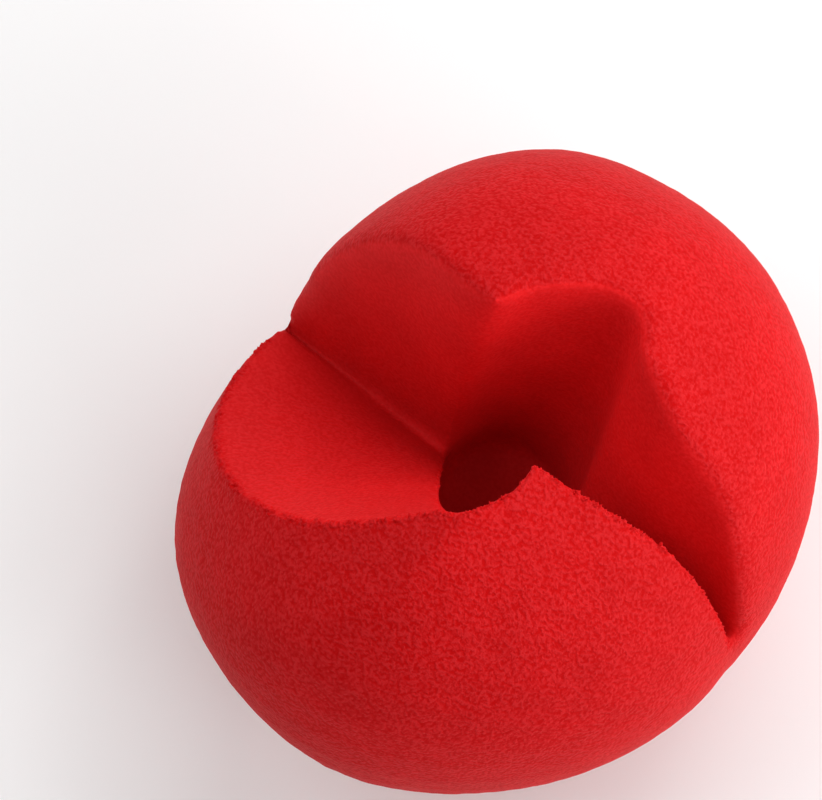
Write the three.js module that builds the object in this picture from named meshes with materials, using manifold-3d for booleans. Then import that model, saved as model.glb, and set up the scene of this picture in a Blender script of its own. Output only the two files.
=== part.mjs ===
// Clown nose: one soft foam ball with a slit across its back and a bore for the wearer's nose,
// shaped as it is while it is held open to be put on. Millimetres, +Z up.
// It lies on its front with the slit upwards. The slit runs along X, one half of the back
// leans out towards +Y (the far half) and the other towards -Y (the near half).
import * as THREE from "three";
import Module from "manifold-3d";
import { ParametricGeometry } from "three/addons/geometries/ParametricGeometry.js";
import { mergeGeometries, mergeVertices, toCreasedNormals } from "three/addons/utils/BufferGeometryUtils.js";

const { lerp, degToRad, smoothstep } = THREE.MathUtils;

// The ball as it is cut, before it is opened.
const ballDiameter = 50;
const slitDepth = 31; // from the back of the ball down to the slit's bottom line
const slitKerf = 0.4; // what the blade took away, measured at the back of the ball
const boreDiameter = 12.2;
const boreDepth = 36; // from the back of the ball

// How it is held open. Angles are degrees round the slit's bottom line, from the front to the slit at 180.
const fullTurnFrom = 165; // where a half has its whole turn, which builds up from the front
const slideFrom = 130; // where the slide begins; it is whole at the slit
// Spreading leaves the bore round where it ends and draws its mouth out of round.
const mouthReachFar = 4.0; // from the slit into the far half, at the back of the ball
const mouthReachNearWide = 1.0; // from the slit into the near half, where the slit opens wide
const mouthReachNearNarrow = 4.0; // the same, where the slit stays narrow
// Stations along the slit. Turns are how far a half leans out, in degrees. Swells are how much wider it
// gets across the slit, and slides how far it is drawn along the slit, as shares of its distance there.
const farSpread = [
  { along: -1.00, turn: 11.5, swell: 0.30, slide: 0.00 },
  { along: -0.60, turn: 10.0, swell: 0.22, slide: -0.08 },
  { along: -0.25, turn: 7.5, swell: 0.16, slide: -0.07 },
  { along: 0.25, turn: 17.5, swell: 0.10, slide: -0.12 },
  { along: 0.45, turn: 13.0, swell: 0.11, slide: -0.10 },
  { along: 0.70, turn: 12.0, swell: 0.11, slide: -0.06 },
  { along: 1.00, turn: 4.0, swell: 0.11, slide: -0.05 },
];
const nearSpread = [
  { along: -1.00, turn: 55.0, swell: 0.12, slide: 0.08 },
  { along: -0.60, turn: 39.5, swell: 0.08, slide: 0.14 },
  { along: -0.25, turn: 19.5, swell: 0.12, slide: 0.16 },
  { along: 0.25, turn: 6.0, swell: 0.14, slide: -0.11 },
  { along: 0.45, turn: 4.0, swell: 0.12, slide: -0.14 },
  { along: 0.70, turn: 0.5, swell: 0.10, slide: -0.09 },
  { along: 1.00, turn: -2.0, swell: 0.10, slide: -0.07 },
];

// How it comes to rest.
const leanAcrossSlit = -4; // degrees about X that bring its weight over the place it rests on
const leanAlongSlit = 2.5; // degrees about Y
const restingDent = 0.2; // how far its own weight flattens the foam

// How finely the surface is drawn.
const arcSteps = 44;
const leafSteps = 44;
const wallSteps = 7;
const boreRoundSteps = 12;
const boreDepthSteps = 10;
const weldDistance = 1e-4; // corners that lie closer are one corner
const sharpAngle = 40; // degrees; an edge that turns more is drawn sharp

const ballRadius = ballDiameter / 2;
const boreRadius = boreDiameter / 2;
const creaseLevel = ballRadius - slitDepth;
const creaseHalfLength = Math.sqrt(ballRadius ** 2 - creaseLevel ** 2);
const slitWallAngle = Math.PI - Math.atan(slitKerf / 2 / slitDepth);

const wasm = await Module();
wasm.setup();

// Joins surfaces along their shared edges into one solid. Where a leaf narrows to a point, its faces
// there close up, and they are left out.
function solidOf(...surfaces) {
  const bare = surfaces.map((surface) => {
    const copy = surface.clone();
    copy.deleteAttribute("normal");
    copy.deleteAttribute("uv");
    return copy;
  });
  const merged = mergeVertices(mergeGeometries(bare), weldDistance);
  const corners = [...merged.index.array];
  const faces = [];
  for (let i = 0; i < corners.length; i += 3) {
    const face = corners.slice(i, i + 3);
    if (new Set(face).size === 3) {
      faces.push(...face);
    }
  }
  return new wasm.Manifold(new wasm.Mesh({
    numProp: 3,
    vertProperties: new Float32Array(merged.attributes.position.array),
    triVerts: new Uint32Array(faces),
  }));
}

function geometryOf(solid) {
  const mesh = solid.getMesh();
  const geometry = new THREE.BufferGeometry();
  geometry.setAttribute("position", new THREE.BufferAttribute(mesh.vertProperties, mesh.numProp));
  geometry.setIndex(new THREE.BufferAttribute(mesh.triVerts, 1));
  return geometry;
}

// A point of the flat leaf that stands on the slit's bottom line at an angle from the front.
// across runs from one end of that line to the other, out runs from the line to the ball's surface.
function leafPoint(angle, across, out, target) {
  const centre = creaseLevel * Math.cos(angle);
  const radius = Math.sqrt(ballRadius ** 2 - (creaseLevel * Math.sin(angle)) ** 2);
  const start = Math.asin(-centre / radius);
  const round = lerp(start, Math.PI - start, across);
  const lineX = creaseHalfLength * Math.cos(Math.PI * across);
  const reach = out * (centre + radius * Math.sin(round));
  const x = lerp(lineX, radius * Math.cos(round), out);
  target.set(x, reach * Math.sin(angle), creaseLevel - reach * Math.cos(angle));
}

function slitBall() {
  const skin = (u, v, target) => leafPoint(lerp(-slitWallAngle, slitWallAngle, v), u, 1, target);
  const farWall = (u, v, target) => leafPoint(slitWallAngle, u, 1 - v, target);
  const nearWall = (u, v, target) => leafPoint(-slitWallAngle, u, v, target);
  return solidOf(
    new ParametricGeometry(skin, arcSteps, leafSteps),
    new ParametricGeometry(farWall, arcSteps, wallSteps),
    new ParametricGeometry(nearWall, arcSteps, wallSteps),
  );
}

function bore() {
  const outline = new THREE.Shape();
  outline.absarc(0, 0, boreRadius, 0, 2 * Math.PI);
  const cutter = new THREE.ExtrudeGeometry(outline, {
    depth: boreDepth,
    steps: boreDepthSteps,
    curveSegments: boreRoundSteps,
    bevelEnabled: false,
  });
  moveEachPoint(cutter, (point) => {
    const towardsNarrow = (point.x + boreRadius) / boreDiameter;
    const mouthReachNear = lerp(mouthReachNearWide, mouthReachNearNarrow, towardsNarrow);
    const mouthReach = point.y > 0 ? mouthReachFar : mouthReachNear;
    point.y *= lerp(1, mouthReach / boreRadius, point.z / boreDepth);
  });
  cutter.translate(0, 0, ballRadius - boreDepth);
  return solidOf(cutter);
}

function spreadCurve(stations) {
  const columns = ["turn", "swell", "slide"];
  return new THREE.CubicInterpolant(
    stations.map((station) => station.along),
    stations.flatMap((station) => columns.map((column) => station[column])),
    columns.length,
  );
}

const farCurve = spreadCurve(farSpread);
const nearCurve = spreadCurve(nearSpread);

// Turns each half of the back outwards about the slit's bottom line. The front only widens.
function openUp(point) {
  const side = point.y > 0 ? 1 : -1;
  const rise = point.z - creaseLevel;
  const reach = Math.hypot(point.y, rise);
  const angle = Math.atan2(Math.abs(point.y), -rise);
  const turnShare = smoothstep(angle, 0, degToRad(fullTurnFrom));
  const slideShare = smoothstep(angle, degToRad(slideFrom), Math.PI);
  const curve = side > 0 ? farCurve : nearCurve;
  const [turn, swell, slide] = curve.evaluate(point.x / ballRadius);
  const turned = angle - turnShare * degToRad(turn);
  point.x += slideShare * reach * slide;
  point.y = side * reach * Math.sin(turned) * (1 + swell);
  point.z = creaseLevel - reach * Math.cos(turned);
}

function moveEachPoint(geometry, move) {
  const position = geometry.attributes.position;
  const point = new THREE.Vector3();
  for (let i = 0; i < position.count; i += 1) {
    move(point.fromBufferAttribute(position, i));
    position.setXYZ(i, point.x, point.y, point.z);
  }
}

// Lays the ball down and flattens the little patch that it rests on, with the origin in its middle.
function layDown(geometry) {
  geometry.rotateX(degToRad(leanAcrossSlit));
  geometry.rotateY(degToRad(leanAlongSlit));
  geometry.computeBoundingBox();
  const floorLevel = geometry.boundingBox.min.z + restingDent;
  const below = new THREE.BoxGeometry(2 * ballDiameter, 2 * ballDiameter, ballDiameter);
  below.translate(0, 0, floorLevel - ballDiameter / 2);
  const laid = geometryOf(solidOf(geometry).subtract(solidOf(below)));
  const patch = new THREE.Box3();
  moveEachPoint(laid, (point) => {
    if (point.z < floorLevel + restingDent / 2) {
      patch.expandByPoint(point);
    }
  });
  const middle = patch.getCenter(new THREE.Vector3());
  return laid.translate(-middle.x, -middle.y, -floorLevel);
}

const opened = geometryOf(slitBall().subtract(bore()));
moveEachPoint(opened, openUp);

const foam = new THREE.MeshStandardMaterial({ color: "#d9151d", roughness: 0.95, metalness: 0 });
const foamBall = new THREE.Mesh(toCreasedNormals(layDown(opened), degToRad(sharpAngle)), foam);
foamBall.name = "foam_ball";

const clownNose = new THREE.Group();
clownNose.name = "clown_nose";
clownNose.add(foamBall);

export default clownNose;
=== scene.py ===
import math
import bpy
import bmesh
from mathutils import Matrix, Vector
from mathutils.kdtree import KDTree


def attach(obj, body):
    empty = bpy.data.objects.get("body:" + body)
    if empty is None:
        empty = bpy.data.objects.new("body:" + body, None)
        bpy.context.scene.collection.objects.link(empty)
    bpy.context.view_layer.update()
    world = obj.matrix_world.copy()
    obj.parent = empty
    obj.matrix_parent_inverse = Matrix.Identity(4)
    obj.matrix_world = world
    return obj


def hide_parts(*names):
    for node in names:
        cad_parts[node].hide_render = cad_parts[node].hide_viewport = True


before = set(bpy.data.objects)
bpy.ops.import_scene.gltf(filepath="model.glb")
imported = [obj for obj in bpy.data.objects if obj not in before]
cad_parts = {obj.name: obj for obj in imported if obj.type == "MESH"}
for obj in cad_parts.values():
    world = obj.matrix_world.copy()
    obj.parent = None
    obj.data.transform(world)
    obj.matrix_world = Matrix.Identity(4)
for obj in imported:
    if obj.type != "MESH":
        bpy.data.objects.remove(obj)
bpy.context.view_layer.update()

mm = 0.001


def fromHex(colour):
    # sRGB hex to the linear values that Blender takes
    parts = [int(colour[i:i + 2], 16) / 255 for i in (1, 3, 5)]
    return [p / 12.92 if p <= 0.04045 else ((p + 0.055) / 1.055) ** 2.4 for p in parts] + [1]


def addNode(tree, kind, inputs=None, **settings):
    made = tree.nodes.new("ShaderNode" + kind)
    for name, value in settings.items():
        setattr(made, name, value)
    for name, value in (inputs or {}).items():
        if isinstance(value, bpy.types.NodeSocket):
            tree.links.new(value, made.inputs[name])
        else:
            made.inputs[name].default_value = value
    return made


def newMaterial(name):
    material = bpy.data.materials.new(name)
    material.use_nodes = True
    material.node_tree.nodes.clear()
    return material


def addObject(name, data):
    made = bpy.data.objects.new(name, data)
    bpy.context.scene.collection.objects.link(made)
    return made


def ramp(value, low, high):
    # 0 up to low, 1 from high on, and a soft rise between them
    share = min(max((value - low) / (high - low), 0), 1)
    return share * share * (3 - 2 * share)


# The foam ball. A pair of numbers says where a ramp starts and where it ends.
foamBall = {
    "middle": Vector((-0.15, -0.66, 24.80)) * mm,
    "leanAcrossSlit": -4,  # degrees about X, as the ball lies
    "leanAlongSlit": 2.5,  # degrees about Y
    "crease": -6 * mm,  # height of the slit's bottom line, from the ball's middle
    "farHalf": (-0.3 * mm, 0.8 * mm),  # across the slit, from the near half to the far half
    "lipRise": (1.5 * mm, 6 * mm),  # height above the crease
    "boreFall": (1 * mm, 4 * mm),  # depth below the crease
    "facingOut": (0.40, 0.80),  # cosine between the surface's normal and the ball's radius
    "lipFacing": (0.2, 0.8),  # the lip is where the ramp of facingOut lies between these
    "lipSides": (0.05, 0.95),  # the same, for the lip and what is next to it
    "weld": 0.001 * mm,
    "voxel": 0.45 * mm,
    "smoothing": 0.5,  # share of the way to its neighbours' middle that a vertex goes in a pass
    "farPasses": 75,  # round the far lip, the mouth of the bore and its bottom
    "nearPasses": 3,  # take off the voxels' steps only
    "nearLipShare": 0.2,  # of them at the near lip, where the tatters hide the steps
    "creaseReach": 0.9 * mm,  # the voxels fill the slit's bottom this far round, and it is cut open again
    "creaseDepth": 2.0 * mm,
    "tip": Vector((3.8, -2.9, 48.9)) * mm,  # of the near lip, beside the bore
    "tipReach": 2.4 * mm,
    "tipDraw": Vector((-0.55, 0.42, 0.15)) * mm,  # the voxels blunt it, and it is drawn out again
    "lipBand": 0.8 * mm,  # drawn finer on each side of the near lip
    "lipCuts": 3,
    "lumpSize": 1.8 * mm,
    "lumpDepth": 0.07 * mm,
    "cellSize": 1.0 * mm,
    "cellDepth": 0.07 * mm,
    "tatterSize": 0.20 * mm,
    "tatterDepth": 0.65 * mm,
    "nearWallGrain": 0.4,  # share of the skin's grain that the near wall shows
}
leanAcross = Matrix.Rotation(math.radians(foamBall["leanAcrossSlit"]), 3, "X")
ballLean = Matrix.Rotation(math.radians(foamBall["leanAlongSlit"]), 3, "Y") @ leanAcross


def unleaned(vertex):  # its place in the ball before that was laid down, from the ball's middle
    return ballLean.transposed() @ (vertex.co - foamBall["middle"])


def onFarHalf(vertex):
    return ramp(unleaned(vertex).y, *foamBall["farHalf"])


def aboveCrease(vertex):
    return ramp(unleaned(vertex).z - foamBall["crease"], *foamBall["lipRise"])


def onSkin(vertex):  # 1 on the round outside, 0 on the slit's walls and in the bore
    outwards = (vertex.co - foamBall["middle"]).normalized()
    return ramp(vertex.normal.dot(outwards), *foamBall["facingOut"])


def inBore(vertex):  # below the crease only
    return ramp(foamBall["crease"] - unleaned(vertex).z, *foamBall["boreFall"]) * (1 - onSkin(vertex))


def inCrease(vertex):
    spot = unleaned(vertex)
    reach = foamBall["creaseReach"]
    apart = math.hypot(spot.y, spot.z - foamBall["crease"])
    return ramp(reach - apart, 0, reach) * (1 - onSkin(vertex))


def roundedShare(vertex):
    return max(onFarHalf(vertex) * aboveCrease(vertex), inBore(vertex))


def steppedShare(vertex):
    low, high = foamBall["lipSides"]
    atNearLip = onFarHalf(vertex) <= 0.5 and low <= onSkin(vertex) <= high
    return foamBall["nearLipShare"] if atNearLip else 1


def isNearLip(vertex):
    low, high = foamBall["lipFacing"]
    return onFarHalf(vertex) < 0.5 and low < onSkin(vertex) < high and aboveCrease(vertex) > 0


def applyModifiers(piece):
    bpy.context.view_layer.update()
    shown = piece.evaluated_get(bpy.context.evaluated_depsgraph_get())
    old = piece.data
    piece.data = bpy.data.meshes.new_from_object(shown)
    piece.modifiers.clear()
    bpy.data.meshes.remove(old)


def weigh(piece, name, weightOf):
    group = piece.vertex_groups.new(name=name)
    for vertex in piece.data.vertices:
        group.add([vertex.index], weightOf(vertex), "REPLACE")


def smooth(piece, group, passes):
    modifier = piece.modifiers.new(group, "SMOOTH")
    modifier.factor = foamBall["smoothing"]
    modifier.iterations = passes
    modifier.vertex_group = group


def displace(piece, kind, size, depth, group):
    texture = bpy.data.textures.new(group + kind, kind)
    texture.noise_scale = size
    if kind == "CLOUDS":
        texture.noise_depth = 0
    modifier = piece.modifiers.new(group + kind, "DISPLACE")
    modifier.texture = texture
    modifier.texture_coords = "LOCAL"
    modifier.strength = depth
    modifier.vertex_group = group


def remeshBall(node):
    shape = bmesh.new()
    shape.from_mesh(node.data)
    bmesh.ops.remove_doubles(shape, verts=shape.verts, dist=foamBall["weld"])
    mesh = bpy.data.meshes.new("softFoam")
    shape.to_mesh(mesh)
    shape.free()
    piece = addObject("foam_ball_soft", mesh)
    remesh = piece.modifiers.new("remesh", "REMESH")
    remesh.mode = "VOXEL"
    remesh.voxel_size = foamBall["voxel"]
    applyModifiers(piece)
    print("foam ball: remeshed to", len(piece.data.polygons), "faces")
    return piece


def roundLips(piece):
    weigh(piece, "rounded", roundedShare)
    weigh(piece, "stepped", steppedShare)
    smooth(piece, "rounded", foamBall["farPasses"])
    smooth(piece, "stepped", foamBall["nearPasses"])
    applyModifiers(piece)
    piece.vertex_groups.clear()
    print("foam ball: lips rounded")


def sharpenLip(piece):
    # Cuts the crease open, draws out the tip of the near lip and divides the faces along this lip,
    # for the torn cells there. Hands back the lip's points.
    shape = bmesh.new()
    shape.from_mesh(piece.data)
    reach = foamBall["tipReach"]
    for vertex in shape.verts:
        vertex.co -= ballLean @ Vector((0, 0, foamBall["creaseDepth"] * inCrease(vertex)))
        fromTip = (vertex.co - foamBall["tip"]).length
        vertex.co += foamBall["tipDraw"] * ramp(reach - fromTip, 0, reach)
    lip = [vertex.co.copy() for vertex in shape.verts if isNearLip(vertex)]
    nearLip = KDTree(len(lip))
    for i, point in enumerate(lip):
        nearLip.insert(point, i)
    nearLip.balance()
    band = [f for f in shape.faces if nearLip.find(f.calc_center_median())[2] < foamBall["lipBand"]]
    edges = {e for f in band for e in f.edges}
    bmesh.ops.subdivide_edges(shape, edges=list(edges), cuts=foamBall["lipCuts"], use_grid_fill=True)
    shape.to_mesh(piece.data)
    shape.free()
    print("foam ball: lip drawn finer,", len(piece.data.polygons), "faces")
    return nearLip


def pressCells(piece, nearLip):
    def onNearLip(vertex):
        band = foamBall["lipBand"]
        return ramp(band - nearLip.find(vertex.co)[2], 0, band)

    def likeSkin(vertex):
        nearWall = (1 - onFarHalf(vertex)) * aboveCrease(vertex)
        return max(onSkin(vertex), onNearLip(vertex), foamBall["nearWallGrain"] * nearWall)

    weigh(piece, "onSkin", onSkin)
    weigh(piece, "onLip", onNearLip)
    displace(piece, "CLOUDS", foamBall["lumpSize"], foamBall["lumpDepth"], "onSkin")
    displace(piece, "VORONOI", foamBall["cellSize"], foamBall["cellDepth"], "onSkin")
    displace(piece, "CLOUDS", foamBall["tatterSize"], foamBall["tatterDepth"], "onLip")
    skin = piece.data.attributes.new("skin", "FLOAT", "POINT")
    skin.data.foreach_set("value", [likeSkin(vertex) for vertex in piece.data.vertices])
    applyModifiers(piece)
    piece.vertex_groups.clear()
    print("foam ball: cells pressed in,", 2 * len(piece.data.polygons), "triangles")


def makeFoamBall(node):
    piece = remeshBall(node)
    roundLips(piece)
    nearLip = sharpenLip(piece)
    pressCells(piece, nearLip)
    for vertex in piece.data.vertices:
        vertex.co.z = max(vertex.co.z, 0)
    for polygon in piece.data.polygons:
        polygon.use_smooth = True
    return piece


foamLook = {
    # The pits' reds are the dyed foam with painted shade in the cells. The ribs' reds are the dyed foam
    # with painted sheen.
    "skinPitDyeAndPaintedShade": "#c00608",
    "skinRibDyeAndPaintedSheen": "#d02024",
    # The walls' reds are lighter than the skin's. This is painted shade on the skin, for the shadow its
    # open cells cast on themselves.
    "wallPitDyeAndPaintedShade": "#da181a",
    "wallRibDyeAndPaintedSheen": "#e32124",
    "cell": 0.55 * mm,  # the real cells are half as wide, too fine to show
    "bend": 0.5,  # how fast the cells' edges wander, in waves for each cell
    "wander": 0.33 * mm,  # how far they wander
    "ribEdge": (0.03, 0.24),  # where a rib ends, as a share of a cell
    # The flecks raise the bump and also bring in the ribs' paler red, as painted sheen flecks.
    "fleck": 0.33 * mm,
    "fleckEdge": (0.35, 0.65),  # values of the noise
    "ribWeight": 0.6,  # beside the flecks' weight of 1
    "wholeGrain": 1.4,  # sum of both that counts as all rib
    "patch": 5 * mm,
    "patchEdge": (0.3, 0.7),  # values of the noise
    "patchShade": (0.95, 1.03),
    # Painted shade: the walls' red darkens towards the bore's bottom. Near the lips it gets a little
    # painted light.
    "wallPaintedShadeHeight": (14 * mm, 42 * mm),  # from the bore's bottom to the lips
    "deepWallPaintedShade": (0.76, 1.07),
    "relief": 0.045 * mm,
    "reliefShare": (0.3, 1.0),  # on the walls, and on the skin
    "roughness": 0.6,
    "gloss": 0.05,
    "scatter": 0.15,
    "scatterReach": 1 * mm,
    "scatterColour": (1.2, 0.15, 0.12),  # red light goes furthest
}


def redFoam():
    # Open-cell polyurethane foam, dyed through. Its cells are pits between fine ribs. That makes it
    # matt, with a faint gloss, and a little light goes through the ribs.
    look = foamLook
    material = newMaterial("polyurethaneFoam")
    tree = material.node_tree
    place = addNode(tree, "TexCoord").outputs["Object"]
    skin = addNode(tree, "Attribute", attribute_name="skin").outputs["Fac"]

    def noise(scale, detail):
        return addNode(tree, "TexNoise", {"Vector": place, "Scale": scale, "Detail": detail})

    def spread(value, edges=(0, 1), onto=(0, 1)):
        return addNode(tree, "MapRange", {"Value": value, "From Min": edges[0], "From Max": edges[1],
                                          "To Min": onto[0], "To Max": onto[1]}).outputs[0]

    def scaled(vector, factor):
        return addNode(tree, "VectorMath", {0: vector, "Scale": factor}, operation="SCALE").outputs[0]

    def blend(share, first, second):
        return addNode(tree, "Mix", {0: share, 6: first, 7: second}, data_type="RGBA").outputs[2]

    # The ribs are the edges of a Voronoi pattern whose places are pushed to and fro.
    push = addNode(tree, "VectorMath", {0: noise(look["bend"] / look["cell"], 1).outputs["Color"],
                                        1: (0.5, 0.5, 0.5)}, operation="SUBTRACT")
    bent = addNode(tree, "VectorMath", {0: place, 1: scaled(push.outputs[0], 2 * look["wander"])},
                   operation="ADD")
    cells = addNode(tree, "TexVoronoi", {"Vector": bent.outputs[0], "Scale": 1 / look["cell"]},
                    feature="DISTANCE_TO_EDGE")
    rib = spread(cells.outputs["Distance"], look["ribEdge"], (1, 0))
    fleck = spread(noise(1 / look["fleck"], 1).outputs["Fac"], look["fleckEdge"])
    strokes = addNode(tree, "Math", {0: rib, 1: fleck}, operation="MULTIPLY")
    grain = addNode(tree, "Math", {0: strokes.outputs[0], 1: look["ribWeight"], 2: fleck},
                    operation="MULTIPLY_ADD")
    share = spread(grain.outputs[0], (0, look["wholeGrain"]))

    # Painted shade and sheen: the grain's share blends the pits' darker red into the ribs' paler red.
    onSkin = blend(share, fromHex(look["skinPitDyeAndPaintedShade"]), fromHex(look["skinRibDyeAndPaintedSheen"]))
    onWall = blend(share, fromHex(look["wallPitDyeAndPaintedShade"]), fromHex(look["wallRibDyeAndPaintedSheen"]))
    # Painted shade: the walls get darker the deeper they lie.
    height = addNode(tree, "SeparateXYZ", {"Vector": place}).outputs["Z"]
    wall = scaled(onWall, spread(height, look["wallPaintedShadeHeight"], look["deepWallPaintedShade"]))
    patches = noise(1 / look["patch"], 2).outputs["Fac"]
    mottled = scaled(blend(skin, wall, onSkin), spread(patches, look["patchEdge"], look["patchShade"]))
    bump = addNode(tree, "Bump", {"Height": share, "Strength": spread(skin, onto=look["reliefShare"]),
                                  "Distance": look["relief"]})
    surface = addNode(tree, "BsdfPrincipled", {
        "Base Color": mottled,
        "Normal": bump.outputs["Normal"],
        "Roughness": look["roughness"],
        "Specular IOR Level": look["gloss"],
        "Subsurface Weight": look["scatter"],
        "Subsurface Radius": look["scatterColour"],
        "Subsurface Scale": look["scatterReach"],
    })
    addNode(tree, "OutputMaterial", {"Surface": surface.outputs["BSDF"]})
    return material


ballPiece = makeFoamBall(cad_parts["foam_ball"])
ballPiece.data.materials.clear()
ballPiece.data.materials.append(redFoam())
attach(ballPiece, "root")
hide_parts("foam_ball")

# The floor
floorPlan = {"side": 4.0, "colour": "#f7f7f7"}


def makeFloor():
    shape = bmesh.new()
    bmesh.ops.create_grid(shape, x_segments=1, y_segments=1, size=floorPlan["side"] / 2)
    mesh = bpy.data.meshes.new("floor")
    shape.to_mesh(mesh)
    shape.free()
    # Matt paper, which gives plain white with soft shade.
    material = newMaterial("mattPaper")
    tree = material.node_tree
    surface = addNode(tree, "BsdfPrincipled", {"Base Color": fromHex(floorPlan["colour"]), "Roughness": 1.0,
                                               "Specular IOR Level": 0.0})
    addNode(tree, "OutputMaterial", {"Surface": surface.outputs["BSDF"]})
    mesh.materials.append(material)
    return addObject("floor", mesh)


makeFloor()
print("floor laid")

# The camera and the light
cameraPlace = {
    "azimuth": 38.036,  # degrees about Z, counted from -Y
    "elevation": 76.749,  # degrees above the floor
    "roll": 1.486,  # degrees about the line of sight
    "distance": 423.2 * mm,
    "lens": 215.44,  # focal length in millimetres
    "aim": Vector((-11.025, -0.628, 26.386)) * mm,
}
# Each softbox stands at so many metres to the right, up and towards the camera, as the camera sees it.
softboxes = [
    {"name": "key", "at": (0.34, 0.30, 0.36), "size": 0.40, "power": 0.95},
    {"name": "top", "at": (0.10, 0.45, 0.35), "size": 0.40, "power": 1.25},
    {"name": "left", "at": (-0.35, 0.20, 0.42), "size": 0.40, "power": 0.95},
    {"name": "low", "at": (0.36, -0.31, 0.37), "size": 0.40, "power": 1.15},
    {"name": "over", "at": (0.0, 0.0, 0.60), "size": 0.40, "power": 0.25},
    {"name": "rim", "at": (0.50, 0.28, 0.12), "size": 0.25, "power": 0.75},
    {"name": "right", "at": (0.50, -0.15, 0.15), "size": 0.25, "power": 1.0},
]
skyLight = {"colour": "#ffffff", "strength": 0.20}


def cameraTurn():
    swing = Matrix.Rotation(math.radians(cameraPlace["azimuth"]), 3, "Z")
    tip = Matrix.Rotation(math.radians(90 - cameraPlace["elevation"]), 3, "X")
    return swing @ tip @ Matrix.Rotation(math.radians(cameraPlace["roll"]), 3, "Z")


def addCamera():
    turn = cameraTurn()
    camera = addObject("camera", bpy.data.cameras.new("camera"))
    camera.data.lens = cameraPlace["lens"]
    camera.matrix_world = turn.to_4x4()
    camera.location = cameraPlace["aim"] + turn @ Vector((0, 0, cameraPlace["distance"]))
    bpy.context.scene.camera = camera


def addSoftboxes():
    turn = cameraTurn()
    for box in softboxes:
        light = bpy.data.lights.new(box["name"], "AREA")
        light.size = box["size"]
        light.energy = box["power"]
        lamp = addObject(box["name"], light)
        away = turn @ Vector(box["at"])
        lamp.location = cameraPlace["aim"] + away
        lamp.rotation_euler = away.to_track_quat("Z", "Y").to_euler()
        lamp.visible_camera = False


def addSky():
    world = bpy.data.worlds.new("studio")
    world.use_nodes = True
    back = world.node_tree.nodes["Background"]
    back.inputs["Color"].default_value = fromHex(skyLight["colour"])
    back.inputs["Strength"].default_value = skyLight["strength"]
    bpy.context.scene.world = world


addCamera()
addSoftboxes()
addSky()
bpy.context.scene.view_settings.view_transform = "Standard"
print("camera and light placed")
